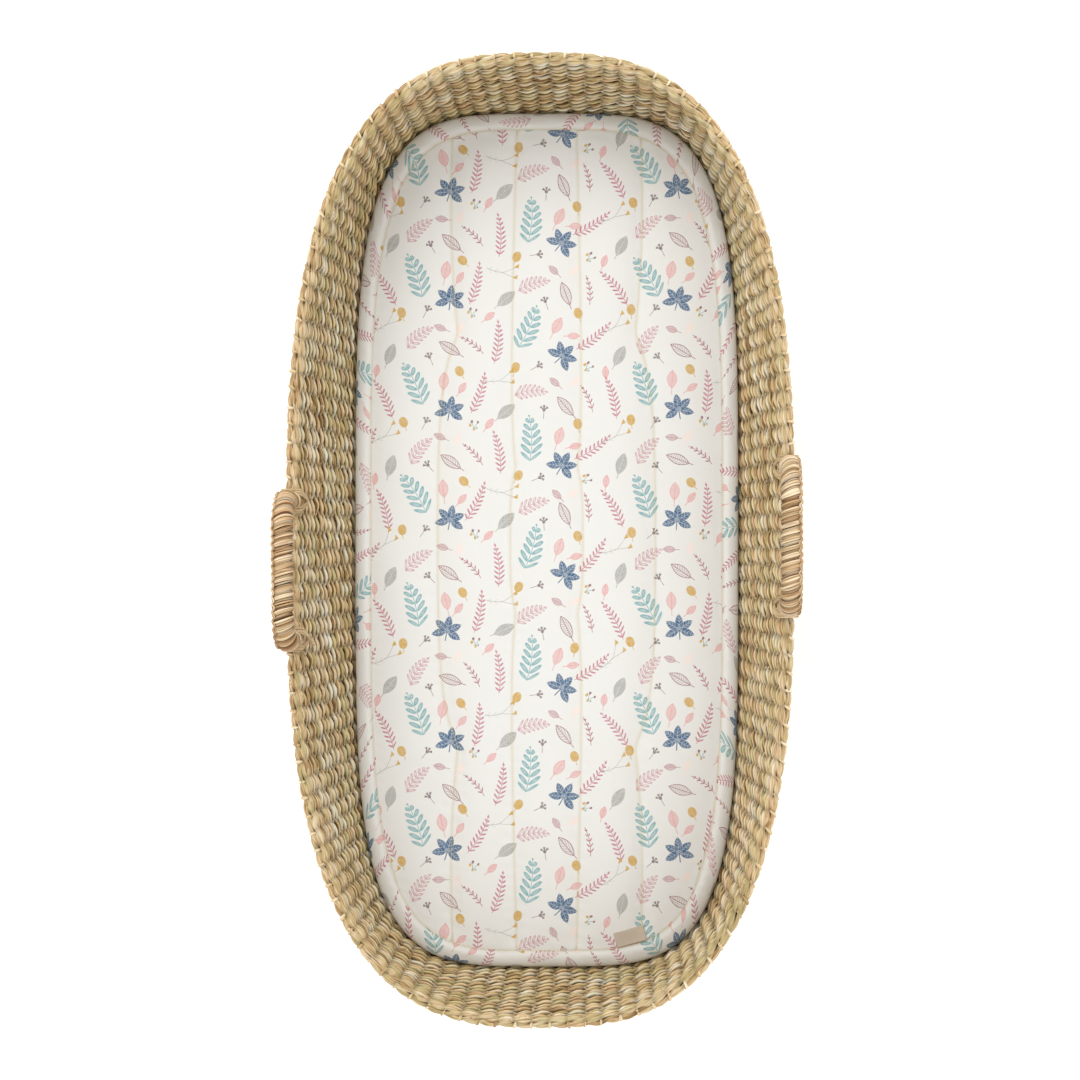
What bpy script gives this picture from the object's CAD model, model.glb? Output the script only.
"""Looks of the moses basket: twined seagrass, cord-bound handles and a printed, quilted mattress.

Lengths inside the shape functions are millimetres in the basket's own frame: Z up, Y towards the head end,
and the origin at the centre of the base's underside. make_piece turns them into metres.
"""

import math

import bmesh
import bpy
import numpy as np
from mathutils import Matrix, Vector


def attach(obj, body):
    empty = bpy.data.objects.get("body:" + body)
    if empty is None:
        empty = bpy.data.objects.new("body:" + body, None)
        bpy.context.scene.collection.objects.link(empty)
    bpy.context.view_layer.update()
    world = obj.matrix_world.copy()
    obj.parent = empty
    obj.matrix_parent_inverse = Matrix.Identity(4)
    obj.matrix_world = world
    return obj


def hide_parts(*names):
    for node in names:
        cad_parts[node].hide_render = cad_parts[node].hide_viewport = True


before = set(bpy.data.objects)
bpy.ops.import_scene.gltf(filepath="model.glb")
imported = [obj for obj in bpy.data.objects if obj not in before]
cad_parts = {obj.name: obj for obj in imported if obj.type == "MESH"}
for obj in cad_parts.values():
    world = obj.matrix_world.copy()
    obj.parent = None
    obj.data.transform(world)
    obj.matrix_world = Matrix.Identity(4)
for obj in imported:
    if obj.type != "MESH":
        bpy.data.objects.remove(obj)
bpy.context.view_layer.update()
MM = 0.001

# ---------------------------------------------------------------- camera and light
RIM_HEIGHT = 170.0
CAMERA_HEIGHT = 2.05  # above the rim
CAMERA_ASIDE = 0.1
VIEW_ACROSS = 0.9257  # what the picture takes in at the rim's height
SENSOR = 36.0
WORLD_STRENGTH = 0.98
# Each soft box: its place, its side, its power and its colour.
SOFT_BOXES = {
    "key": ((-1.0, 2.0, 2.7), 1.8, 38, (1, 0.995, 0.98)),
    "fill": ((1.8, -0.8, 2.2), 1.6, 8, (0.98, 0.99, 1)),
}


def new_object(name, data):
    """An object in the scene, round a mesh, a light or a camera."""
    made = bpy.data.objects.new(name, data)
    bpy.context.scene.collection.objects.link(made)
    return made


def make_camera():
    """Looks straight down, with the head end at the top."""
    data = bpy.data.cameras.new("camera")
    data.sensor_width = SENSOR
    data.lens = SENSOR * CAMERA_HEIGHT / VIEW_ACROSS
    data.shift_x = -CAMERA_ASIDE / VIEW_ACROSS
    data.clip_end = 50
    camera = new_object("camera", data)
    camera.location = (CAMERA_ASIDE, 0, CAMERA_HEIGHT + RIM_HEIGHT * MM)
    bpy.context.scene.camera = camera


def make_studio():
    """A white surround, and square soft boxes that face the middle of the basket."""
    world = bpy.data.worlds.new("studio")
    bpy.context.scene.world = world
    world.use_nodes = True
    background = world.node_tree.nodes["Background"]
    background.inputs["Color"].default_value = (1, 1, 1, 1)
    background.inputs["Strength"].default_value = WORLD_STRENGTH
    for name, (location, size, power, colour) in SOFT_BOXES.items():
        data = bpy.data.lights.new(name, "AREA")
        data.size = size
        data.energy = power
        data.color = colour
        light = new_object(name, data)
        light.location = location
        aim = Vector((0, 0, 0.1)) - light.location
        light.rotation_euler = aim.to_track_quat("-Z", "Y").to_euler()
    bpy.context.scene.view_settings.view_transform = "Standard"


make_camera()
make_studio()

# ---------------------------------------------------------------- shader maths
def linear(red, green, blue):
    """A display colour, 0 to 255 a channel, as linear light."""
    channels = np.array([red, green, blue]) / 255
    low = channels / 12.92
    high = ((channels + 0.055) / 1.055) ** 2.4
    return tuple(float(c) for c in np.where(channels <= 0.04045, low, high)) + (1.0,)


class Wire:
    """A socket that arithmetic works on: each operation adds one Math node."""

    def __init__(self, paint, socket):
        self.paint = paint
        self.socket = socket

    def math(self, operation, *others):
        return self.paint.node("ShaderNodeMath", {"operation": operation}, [self, *others])

    def __rsub__(self, other):
        return self.paint.node("ShaderNodeMath", {"operation": "SUBTRACT"}, [other, self])

    def over(self, edge, soft):
        """0 below edge - soft, 1 above edge + soft, and a smooth rise between."""
        values = {"Value": self, "From Min": edge - soft, "From Max": edge + soft}
        return self.paint.node("ShaderNodeMapRange", {"interpolation_type": "SMOOTHSTEP"}, values)

    def under(self, edge, soft):
        """1 below edge - soft and 0 above edge + soft."""
        return 1 - self.over(edge, soft)


def wire_method(operation):
    """A method that feeds a wire, and its other operand if it has one, to a Math node."""
    return lambda wire, *others: wire.math(operation, *others)


WIRE_METHODS = {
    "__add__": "ADD",
    "__radd__": "ADD",
    "__sub__": "SUBTRACT",
    "__mul__": "MULTIPLY",
    "__rmul__": "MULTIPLY",
    "__truediv__": "DIVIDE",
    "__mod__": "FLOORED_MODULO",
    "__abs__": "ABSOLUTE",
    "least": "MINIMUM",
    "most": "MAXIMUM",
    "nearest": "ROUND",
    "cosine": "COSINE",
    "sine": "SINE",
    "root": "SQRT",
    "turn_from": "ARCTAN2",
}

for method, operation in WIRE_METHODS.items():
    setattr(Wire, method, wire_method(operation))


class Paint:
    """One material's nodes, ending in a Principled shader."""

    def __init__(self, name, roughness=0.8, **sockets):
        self.material = bpy.data.materials.new(name)
        self.material.use_nodes = True
        self.tree = self.material.node_tree
        self.shader = self.tree.nodes["Principled BSDF"]
        self.shader.inputs["Roughness"].default_value = roughness
        for socket, value in sockets.items():
            self.shader.inputs[socket.replace("_", " ")].default_value = value

    def node(self, kind, settings=None, inputs=None, output=0):
        """Adds a node of a kind: its settings first, then its sockets, each a value or a wire."""
        made = self.tree.nodes.new(kind)
        for key, value in (settings or {}).items():
            setattr(made, key, value)
        pairs = inputs.items() if isinstance(inputs, dict) else enumerate(inputs or [])
        for key, value in pairs:
            if isinstance(value, Wire):
                self.tree.links.new(value.socket, made.inputs[key])
            else:
                made.inputs[key].default_value = value
        return Wire(self, made.outputs[output])

    def ramp(self, share, stops):
        """A colour that runs from stop to stop as share rises, each stop a place and a display colour."""
        wire = self.node("ShaderNodeValToRGB", None, [share])
        elements = wire.socket.node.color_ramp.elements
        while len(elements) < len(stops):
            elements.new(0.5)
        for element, (place, colour) in zip(elements, stops):
            element.position = place
            element.color = linear(*colour)
        return wire

    def attribute(self, name):
        return self.node("ShaderNodeAttribute", {"attribute_name": name}, output="Fac")

    def split(self, vector):
        made = self.node("ShaderNodeSeparateXYZ", inputs=[vector])
        outputs = made.socket.node.outputs
        return [Wire(self, outputs[k]) for k in range(3)]

    def place(self, x, y, z=0.0):
        return self.node("ShaderNodeCombineXYZ", inputs=[x, y, z])

    def object_place(self):
        return self.node("ShaderNodeTexCoord", output="Object")

    def uv(self, name):
        return self.node("ShaderNodeUVMap", {"uv_map": name})

    def noise(self, vector, scale, detail=3.0, roughness=0.5):
        values = {"Vector": vector, "Scale": scale, "Detail": detail, "Roughness": roughness}
        return self.node("ShaderNodeTexNoise", None, values, "Fac")

    def blend(self, share, first, second, kind="MIX"):
        """The first colour where share is 0 and the second where it is 1."""
        settings = {"data_type": "RGBA", "blend_type": kind, "clamp_factor": True}
        return self.node("ShaderNodeMix", settings, {0: share, 6: first, 7: second}, 2)

    def white_noise(self, x, y, seed):
        """Three numbers from 0 to 1 by chance, the same wherever the whole numbers x and y are the same."""
        place = self.place(x, y, seed)
        return self.split(self.node("ShaderNodeTexWhiteNoise", inputs={"Vector": place}, output="Color"))

    def finish(self, colour=None, roughness=None, height=None, bump=0.5, distance=0.001):
        """Wires the surface up: its colour, its roughness, and a height that becomes its bump."""
        wanted = {"Base Color": colour, "Roughness": roughness}
        if height is not None:
            values = {"Height": height, "Strength": bump, "Distance": distance}
            wanted["Normal"] = self.node("ShaderNodeBump", None, values)
        for socket, wire in wanted.items():
            if isinstance(wire, Wire):
                self.tree.links.new(wire.socket, self.shader.inputs[socket])
        return self.material


# ---------------------------------------------------------------- materials
def straw_paint(name, dark, middle, light, green, pink, roughness=0.72, grain=1.0, shade=0.62):
    """Dried grass: a tone for each strand, fine fibres along it, and a shade where it dips under."""
    paint = Paint(name, roughness, Specular_IOR_Level=0.3)
    along, around, _ = paint.split(paint.uv("strand"))
    tone = paint.attribute("tone")
    tint = paint.attribute("tint")
    dip = paint.attribute("dip")
    fibre = paint.noise(paint.place(along * 22, around * 760), 1.0, 2.0, 0.65)
    streak = paint.noise(paint.place(along * 8, around * 240), 1.0, 1.0)
    patch = paint.noise(paint.object_place(), 14.0, 2.0)
    share = tone * 0.55 + (fibre - 0.5) * 1.15 * grain + (streak - 0.5) * 0.75 + (patch - 0.5) * 0.35 + 0.22
    colour = paint.ramp(share, [(0.1, dark), (0.46, middle), (0.86, light)])
    colour = paint.blend(tint.over(0.58, 0.3) * 0.6, colour, linear(*green))
    colour = paint.blend(tint.under(0.18, 0.12) * 0.3, colour, linear(*pink))
    rusty = paint.noise(paint.place(along * 14, around * 120, tone * 9), 1.0, 1.0).over(0.7, 0.04)
    colour = paint.blend(rusty * 0.5, colour, linear(150, 96, 48))
    colour = paint.blend(dip * shade, colour, linear(66, 48, 26), "MULTIPLY")
    height = fibre * 0.8 + streak * 0.9
    return paint.finish(colour, roughness + (fibre - 0.5) * 0.25, height, 0.8, 0.0008)


SEAGRASS = straw_paint(
    "seagrass", (136, 98, 46), (238, 208, 148), (255, 254, 236), (214, 200, 142), (248, 206, 164),
    grain=1.8, shade=0.95,
)
BORDER = straw_paint(
    "border straw", (140, 106, 58), (224, 194, 142), (252, 238, 208), (206, 192, 138), (234, 194, 150),
    grain=1.6,
)
RAFFIA = straw_paint(
    "handle raffia", (128, 84, 44), (208, 170, 122), (250, 232, 202), (216, 196, 152), (208, 154, 106),
    roughness=0.6, grain=2.0, shade=0.8,
)
ROPE = straw_paint(
    "handle rope", (96, 70, 40), (140, 110, 70), (176, 148, 104), (140, 114, 72), (140, 104, 66)
)
REED = straw_paint("stake reed", (84, 64, 38), (132, 106, 68), (176, 148, 104), (128, 116, 74), (132, 98, 62))

# ---------------------------------------------------------------- the basket's oval, as in the CAD
RIM_LENGTH = 840.0
RIM_WIDTH = 440.0
RIM_SQUARENESS = 2.75
BASE_LENGTH = 781.0
BASE_WIDTH = 342.0
BASE_SQUARENESS = 4.4
SQUARENESS_EASE = 1.3
WALL_BULGE = 0.25
TURN_RADIUS = 15.0
BORDER_OVERHANG = 1.5
WALL = 10.3


def mix(a, b, share):
    return a + (b - a) * share


def unit(vectors):
    return vectors / np.linalg.norm(vectors, axis=-1, keepdims=True)


def circle(sides):
    """The angles of a ring's points."""
    return np.arange(sides) * 2 * math.pi / sides


def running(steps):
    """The length reached after each step along a line, from nothing."""
    return np.concatenate([[0], np.cumsum(steps)])


def flare(z):
    """How far the wall has leaned out at height z, from 0 at the ground to 1 at the rim: a parabola."""
    t = np.clip(z / RIM_HEIGHT, 0, 1)
    return t * (1 + WALL_BULGE * (1 - t))


def half_width(z):
    return mix(BASE_WIDTH / 2, RIM_WIDTH / 2 - BORDER_OVERHANG, flare(z))


def half_length(z):
    return mix(BASE_LENGTH / 2, RIM_LENGTH / 2 - BORDER_OVERHANG, flare(z))


def squareness(z):
    t = np.clip(z / RIM_HEIGHT, 0, 1)
    return mix(BASE_SQUARENESS, RIM_SQUARENESS, t**SQUARENESS_EASE)


def long_half(r, z):
    """The half-length of the oval of half-width r at height z: both lie equally far in from the wall."""
    return half_length(z) - (half_width(z) - r)


def oval(r, z, tau):
    """The point at angle tau on the superellipse |x/a|^n + |y/b|^n = 1 of half-width r at height z.

    It is a circle's point, moved along its ray until the sum is 1.
    """
    n = squareness(z)
    c, s = np.cos(tau), np.sin(tau)
    k = (np.abs(c) ** n + np.abs(s) ** n) ** (-1 / n)
    return np.stack(np.broadcast_arrays(r * c * k, long_half(r, z) * s * k, z), -1)


TAU_TABLE = np.linspace(-math.pi, math.pi, 1441)


def tau_at(share, r, z):
    """The angle at a share of the way round the oval of half-width r at height z, measured along it."""
    length = running(np.linalg.norm(np.diff(oval(r, z, TAU_TABLE), axis=0), axis=1))
    turns = np.floor(share)
    return np.interp((share - turns) * length[-1], length, TAU_TABLE) + turns * 2 * math.pi


def wall_line():
    """The middle of the weave's section, from the base's centre out, round the turn and up to the rim.

    A straight run, a quarter arc about the turn's centre, and the flared side. Returns the length along it,
    the half-width, the height, and the unit tangent's two parts.
    """
    depth = WALL / 2
    edge = half_width(0.0) - TURN_RADIUS
    run_r = np.linspace(0, edge, 60, endpoint=False)
    run_z = np.full_like(run_r, depth)
    angle = np.linspace(0, math.pi / 2, 30, endpoint=False)
    arc_z = TURN_RADIUS - (TURN_RADIUS - depth) * np.cos(angle)
    arc_r = half_width(arc_z) - TURN_RADIUS + (TURN_RADIUS - depth) * np.sin(angle)
    side_z = np.linspace(TURN_RADIUS, RIM_HEIGHT, 120)
    side_r = half_width(side_z) - depth
    r = np.concatenate([run_r, arc_r, side_r])
    z = np.concatenate([run_z, arc_z, side_z])
    length = running(np.hypot(np.diff(r), np.diff(z)))
    tangent = unit(np.gradient(np.stack([r, z], -1), length, axis=0))
    return length, r, z, tangent[:, 0], tangent[:, 1]


LINE_LENGTH, LINE_R, LINE_Z, LINE_TR, LINE_TZ = wall_line()


def on_line(s):
    """Half-width, height and tangent at a length s along the wall's middle line."""
    return [np.interp(s, LINE_LENGTH, values) for values in (LINE_R, LINE_Z, LINE_TR, LINE_TZ)]


def off_line(s, out, up, tau):
    """The point at length s on the wall's middle line and angle tau, moved out of the weave and up it."""
    r, z, tr, tz = on_line(s)
    return oval(r + out * tz + up * tr, z - out * tr + up * tz, tau)


def tau_on_line(share, s):
    """The angle at each share of the way round, at each length along the wall's middle line."""
    r, z, _, _ = on_line(s)
    return np.stack([tau_at(share, r[k], z[k]) for k in range(len(s))], 1)


# ---------------------------------------------------------------- meshes from grids
def grid_quads(rows, columns, round_rows=True, round_columns=True, copies=1):
    """Quads between neighbouring points of each copy of a grid, closed on itself where it goes round."""
    i = np.arange(rows if round_rows else rows - 1)[:, None]
    j = np.arange(columns if round_columns else columns - 1)[None, :]
    down, right = (i + 1) % rows, (j + 1) % columns
    quads = np.stack(
        [i * columns + j, down * columns + j, down * columns + right, i * columns + right], -1
    ).reshape(-1, 4)
    offsets = np.arange(copies) * rows * columns
    return (quads[None] + offsets[:, None, None]).reshape(-1, 4)


def weld_points(mesh):
    """Joins the points that lie in one place, so that an end drawn in to its middle is closed."""
    work = bmesh.new()
    work.from_mesh(mesh)
    bmesh.ops.remove_doubles(work, verts=work.verts, dist=1e-6)
    work.to_mesh(mesh)
    work.free()


def make_piece(name, points, faces, material, body, slot, uv, uv_name="strand", values=None, weld=False):
    """A mesh object from points in millimetres and quads or triangles, riding on a body.

    uv holds a pair for each face corner, and values holds named numbers for each point.
    """
    mesh = bpy.data.meshes.new(name)
    faces = np.asarray(faces)
    mesh.vertices.add(len(points))
    mesh.vertices.foreach_set("co", (np.asarray(points) * MM).astype(np.float32).ravel())
    mesh.loops.add(faces.size)
    mesh.loops.foreach_set("vertex_index", faces.astype(np.int32).ravel())
    mesh.polygons.add(len(faces))
    mesh.polygons.foreach_set("loop_start", np.arange(0, faces.size, faces.shape[1], dtype=np.int32))
    mesh.polygons.foreach_set("use_smooth", np.full(len(faces), True))
    mesh.uv_layers.new(name=uv_name).data.foreach_set("uv", np.asarray(uv, np.float32).ravel())
    for key, numbers in (values or {}).items():
        attribute = mesh.attributes.new(key, "FLOAT", "POINT")
        attribute.data.foreach_set("value", np.asarray(numbers, np.float32).ravel())
    mesh.update(calc_edges=True)
    if weld:
        weld_points(mesh)
    mesh.validate()
    piece = new_object(name, mesh)
    mesh.materials.append(material)
    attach(piece, body)
    return piece


def smooth_noise(random, knots, places):
    """Random values from -1 to 1 at evenly spaced knots round a ring, with cosine steps between."""
    values = random.uniform(-1, 1, knots)
    at = (places % 1) * knots
    first = np.floor(at).astype(int)
    share = (1 - np.cos(math.pi * (at - first))) / 2
    return mix(values[first % knots], values[(first + 1) % knots], share)


def lengths_of(tones, random, pieces, places):
    """A number for each place round a ring, the same along each length of grass spliced into it."""
    joins = np.sort(random.uniform(0, 1, pieces))
    return random.choice(tones, pieces + 1)[np.searchsorted(joins, places % 1)]


def carried(path, lift, size, sides, wide=1.0, high=1.0, closed=False):
    """A round section carried along paths, its width square to the path and to lift, its height towards lift.

    path is (copies, rows, 3), and size spreads over (copies, rows, sides).
    """
    ahead = unit(np.roll(path, -1, 1) - np.roll(path, 1, 1) if closed else np.gradient(path, axis=1))
    side = unit(np.cross(ahead, lift))
    up = np.cross(side, ahead)
    aside = (size * wide * np.cos(circle(sides)))[..., None]
    above = (size * high * np.sin(circle(sides)))[..., None]
    return path[:, :, None] + aside * side[:, :, None] + above * up[:, :, None]


def strand_uv(points, perimeter, round_rows):
    """Corner UVs for tubes: metres along each from its own points, and metres round it."""
    copies, _, sides, _ = points.shape
    middle = points.mean(2)
    after = np.roll(middle, -1, 1) if round_rows else middle[:, 1:]
    step = np.linalg.norm(after - middle[:, : after.shape[1]], axis=-1)
    along = np.concatenate([np.zeros((copies, 1)), np.cumsum(step, 1)], 1) * MM
    around = np.arange(sides + 1) / sides * perimeter * MM
    near, far = along[:, :-1, None], along[:, 1:, None]
    left, right = around[None, None, :-1], around[None, None, 1:]
    shape = (copies, step.shape[1], sides)
    corners = [(near, left), (far, left), (far, right), (near, right)]
    return np.stack([np.stack([np.broadcast_to(n, shape) for n in pair], -1) for pair in corners], 3)


def tube_piece(name, points, material, body, slot, values, perimeter=10.0, round_rows=True, seed=0):
    """Tubes of grass or cord as one piece: points is (copies, rows, sides, 3), and values spread over them.

    A tube that doesn't go round in a ring is closed by drawing each end in to its middle.
    """
    copies, rows, sides, _ = points.shape
    values = {key: np.broadcast_to(v, (copies, rows, sides)) for key, v in values.items()}
    if not round_rows:
        ends = [np.repeat(points[:, k].mean(1)[:, None, None], sides, 2) for k in (0, -1)]
        points = np.concatenate([ends[0], points, ends[1]], 1)
        values = {key: np.concatenate([v[:, :1], v, v[:, -1:]], 1) for key, v in values.items()}
        rows += 2
    random = np.random.default_rng(seed)
    uv = strand_uv(points, perimeter, round_rows) + random.uniform(0, 3, (copies, 1, 1, 1, 2))
    faces = grid_quads(rows, sides, round_rows=round_rows, copies=copies)
    flat = points.reshape(-1, 3)
    return make_piece(name, flat, faces, material, body, slot, uv, values=values, weld=not round_rows)


# ---------------------------------------------------------------- twining
STAKES = 140
ROW_PITCH = 8.6
TONES = np.linspace(0, 1, 9)
TINTS = np.array([0.0, 0.1, 0.2, 0.3, 0.4, 0.5, 0.7, 0.9])


STRAND_SIDES = 8
STRAND_LOBE = 0.05


def twined_strand(
    s, aside, turn, stakes, random, swing=1.9, cross=2.5, tall=(1.9, 2.9), thick=(1.6, 1.7), per_stake=8
):
    """One of the two strands of a row that lies aside from the wall's middle.

    Along the row it swings out and in as a cosine of half a turn a stake, and crosses up and down as the
    sine, so that it lies over each second stake on the outside and slants from stake to stake. Its section is
    an ellipse of half-height tall and half-thickness thick, each given between stakes and over a stake.
    Returns points, and each point's tone, tint and dip.
    """
    count = stakes * per_stake
    share = np.arange(count) / count

    def noise(knots=stakes):
        return smooth_noise(random, knots, share)

    phase = math.pi * (share * stakes + turn + 0.16 * noise())
    lift = np.cos(phase)
    over = np.abs(lift)
    breadth = 1 + 0.2 * noise(stakes * 2) + 0.08 * noise(23)
    half_tall = mix(*tall, over) * breadth
    half_thick = mix(*thick, over) * (0.9 + 0.1 * breadth)
    out = aside + swing * lift * (1 + 0.12 * noise())
    up = cross * np.sin(phase) + 0.5 * noise()
    angle = circle(STRAND_SIDES)
    twist = 0.35 * noise()[:, None]
    lobe = 1 + STRAND_LOBE * np.cos(STRAND_SIDES / 2 * angle)
    drift = 0.8 * noise(11)
    r, z, _, _ = on_line(s)
    points = off_line(
        (s + drift)[:, None],
        out[:, None] + half_thick[:, None] * np.cos(angle + twist) * lobe,
        up[:, None] + half_tall[:, None] * np.sin(angle + twist) * lobe,
        tau_at(share, r, z)[:, None],
    )
    tone = lengths_of(TONES, random, 30, share) * 0.55 + 0.45 * (noise(stakes * 2) + 1) / 2
    tint = lengths_of(TINTS, random, 30, share)
    dip = np.clip(0.6 * (1 - over[:, None]) ** 2.2 + 0.5 * np.abs(np.sin(angle)) ** 3, 0, 1)
    return points, tone[:, None] + 0 * dip, tint[:, None] + 0 * dip, dip


def twined_piece(name, places, stakes, weave, material, slot, seed, replaced):
    """Rows of two-strand twining as one piece, each at its length along the wall's line and aside from it."""
    random = np.random.default_rng(seed)
    strands = [twined_strand(*place, turn, stakes, random, **weave) for place in places for turn in (0, 1)]
    points, tone, tint, dip = (np.stack(parts) for parts in zip(*strands))
    values = {"tone": tone, "tint": tint, "dip": dip}
    piece = tube_piece(name, points, material, "basket", slot, values, 12.0, seed=seed)
    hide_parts(*replaced)


WALL_START = float(np.interp(TURN_RADIUS, LINE_Z[60:], LINE_LENGTH[60:])) - 6.0
BORDER_LINE = float(LINE_LENGTH[-1]) - 4.2
WALL_ROWS = np.linspace(WALL_START, BORDER_LINE - 7.0, 18)
BASE_ROWS = np.arange(WALL_START - ROW_PITCH, 5.0, -ROW_PITCH)
BASE_WEAVE = {"per_stake": 4}
BORDER_WEAVE = {"swing": 1.3, "cross": 1.4, "tall": (1.6, 2.1), "thick": (1.6, 1.8)}
BORDER_OUT = 3.0  # from the wall's middle to the middle of the border's outer strands
REED_HALF_WIDTH = 1.1
REED_HALF_THICKNESS = 1.0
PACKING_HALF = 0.35
# Each twist of the border: how far above the border's line it lies, and how far out.
BORDER_TWISTS = [(0.6, BORDER_OUT + 0.4), (0.9, -0.9), (-3.2, BORDER_OUT + 0.4), (-3.6, -0.6)]


def make_weave():
    """The walls in five bands of rows, the base in two, and the border's four twists on top."""
    grass = (SEAGRASS, "seagrass")
    cad_walls = ["wall_weave_outer", "wall_weave_inner"]
    for k, rows in enumerate(np.array_split(WALL_ROWS, 5)):
        places = [(s, 0.0) for s in rows]
        twined_piece(f"wall_rows_{k + 1}", places, STAKES, {}, *grass, 40 + k, cad_walls)
    outer, inner = ([(s, 0.0) for s in rows] for rows in np.array_split(BASE_ROWS, 2))
    cad_base = ["base_weave_lower", "base_weave_upper"]
    twined_piece("base_rows_outer", outer, STAKES, BASE_WEAVE, *grass, 51, cad_base)
    twined_piece("base_rows_inner", inner, STAKES // 2, BASE_WEAVE, *grass, 52, cad_base)
    border = [(BORDER_LINE + up, out) for up, out in BORDER_TWISTS]
    twined_piece("rim_border_twist", border, STAKES, BORDER_WEAVE, BORDER, "border_straw", 60, ["rim_border"])


def make_stakes():
    """Flat reeds under the twining: ellipses carried up the wall's line, evenly spaced round the basket."""
    random = np.random.default_rng(70)
    s = np.linspace(75.0, BORDER_LINE - 2, 34)
    angle = -circle(6)
    _, z, _, _ = on_line(s)
    width = REED_HALF_WIDTH / half_width(z)
    tau = tau_on_line(np.arange(STAKES) / STAKES, s)[..., None] + width[:, None] * np.sin(angle)
    points = off_line(s[:, None], REED_HALF_THICKNESS * np.cos(angle), 0.0, tau)
    tone = random.uniform(0, 1, (STAKES, 1, 1))
    values = {"tone": tone, "tint": 1 - tone, "dip": 0.3}
    piece = tube_piece("stakes", points, REED, "basket", "reed", values, 6.0, False, 71)
    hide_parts(*[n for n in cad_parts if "_stake_" in n], "rim_hoop")


def make_packing():
    """Straw packed between the two faces of the twining: a thin sheet closed round the wall's middle line."""
    s = np.concatenate([np.linspace(1.0, 75, 12), np.linspace(80, BORDER_LINE - 1.5, 44)])
    out = np.repeat([PACKING_HALF, -PACKING_HALF], len(s))
    s = np.concatenate([s, s[::-1]])
    points = off_line(s, out, 0.0, tau_on_line(np.arange(480) / 480, s))[None]
    values = {"tone": 0.1, "tint": 0.1, "dip": 0.8}
    tube_piece("packed_straw", points, REED, "basket", "reed", values, 600.0, True, 73)


def make_border_loops():
    """A small knot of strand on the border's outer edge at each stake: an arc about the outer strands.

    The arc leans along the rim as it goes over, and its round section is thinnest at the two tucked ends.
    """
    random = np.random.default_rng(80)
    rows = 9
    turn = np.radians(np.linspace(-60, 165, rows))
    reach = 2.9 + random.uniform(-0.2, 0.4, (STAKES, 1))
    share = (np.arange(STAKES) + 0.5 + random.uniform(-0.12, 0.12, STAKES)) / STAKES
    r, z, _, _ = on_line(BORDER_LINE)
    lean = np.linspace(-1.7, 1.7, rows)[None] * random.choice([1, 1, 1, -0.4], (STAKES, 1))
    tau = tau_at(share, r, z)[:, None] + lean / half_length(z)
    path = off_line(BORDER_LINE, BORDER_OUT + reach * np.cos(turn), reach * np.sin(turn) + 0.2, tau)
    middle = off_line(BORDER_LINE, BORDER_OUT, 0.0, tau)
    size = 1.2 + random.uniform(-0.2, 0.3, (STAKES, 1))
    size = size * np.sin(np.linspace(0.35, math.pi - 0.35, rows)) ** 0.5
    points = carried(path, path - middle, size[..., None], 6, 1.15, 0.85)
    tone = random.uniform(0.3, 0.95, (STAKES, 1, 1))
    dip = (1 - np.sin(np.linspace(0.2, math.pi - 0.2, rows)))[None, :, None]
    values = {"tone": tone, "tint": random.uniform(0, 0.6, (STAKES, 1, 1)), "dip": dip}
    tube_piece("rim_border_loops", points, BORDER, "basket", "border_straw", values, 7.0, False, 81)


make_weave()
make_stakes()
make_packing()
make_border_loops()

# ---------------------------------------------------------------- handles
HANDLE_SPAN = 119.0
HANDLE_CORNER = 26.0
HANDLE_RISE = 40.6  # from the hinge line to the middle of the bar
HINGE_HEIGHT = 178.9
CORE_RADIUS = 6.0
ROPE_LOBE = 0.07
ROPE_LAY = 4.5  # the length along which the lobes turn by a third of a radian
WRAP_RADIUS = 9.5
WRAP_START = 8.0
WRAP_PITCH = 6.3
WRAP_STRANDS = 4
HANDLES = {"handle_left": (-1, -26.0), "handle_right": (1, 3.0)}


def rim_middle(y, side):
    """The middle of the rim's thickness at a distance y along the basket, at the height of the hinges."""
    n = squareness(RIM_HEIGHT)
    width = half_width(RIM_HEIGHT) - WALL / 2
    length = half_length(RIM_HEIGHT) - WALL / 2
    return np.array([side * width * (1 - abs(y / length) ** n) ** (1 / n), y, HINGE_HEIGHT])


def on_rim(side, shift, points):
    """Points of a handle's own frame, whose Y is the line through its feet, put in their place on the rim."""
    head = rim_middle(shift + HANDLE_SPAN / 2, side)
    foot = rim_middle(shift - HANDLE_SPAN / 2, side)
    turn = math.atan2(foot[0] - head[0], head[1] - foot[1])
    c, s = math.cos(turn), math.sin(turn)
    spin = np.array([[c, s, 0], [-s, c, 0], [0, 0, 1]])
    return points @ spin + (head + foot) / 2


def arch():
    """The handle's middle line: up, a quarter turn, along, a quarter turn and down.

    Returns the length along it, its two coordinates and its heading from straight up.
    """
    rise = HANDLE_RISE - HANDLE_CORNER
    bend = math.pi / 2 * HANDLE_CORNER
    bar = HANDLE_SPAN - 2 * HANDLE_CORNER
    marks = np.cumsum([0, rise, bend, bar, bend, rise])
    s = np.linspace(0, marks[-1], 400)
    heading = np.interp(s, marks, [0, 0, math.pi / 2, math.pi / 2, math.pi, math.pi])
    step = s[1]
    middle = (heading[1:] + heading[:-1]) / 2
    y = -HANDLE_SPAN / 2 + running(np.sin(middle) * step)
    return s, y, running(np.cos(middle) * step), heading


ARCH_S, ARCH_Y, ARCH_Z, ARCH_HEADING = arch()


def off_arch(s, aside, outward):
    """The point at length s along the arch, moved aside along X and outward, away from the grip."""
    y, z, heading = (np.interp(s, ARCH_S, v) for v in (ARCH_Y, ARCH_Z, ARCH_HEADING))
    return np.stack([aside + 0 * y, y - outward * np.cos(heading), z + outward * np.sin(heading)], -1)


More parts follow.
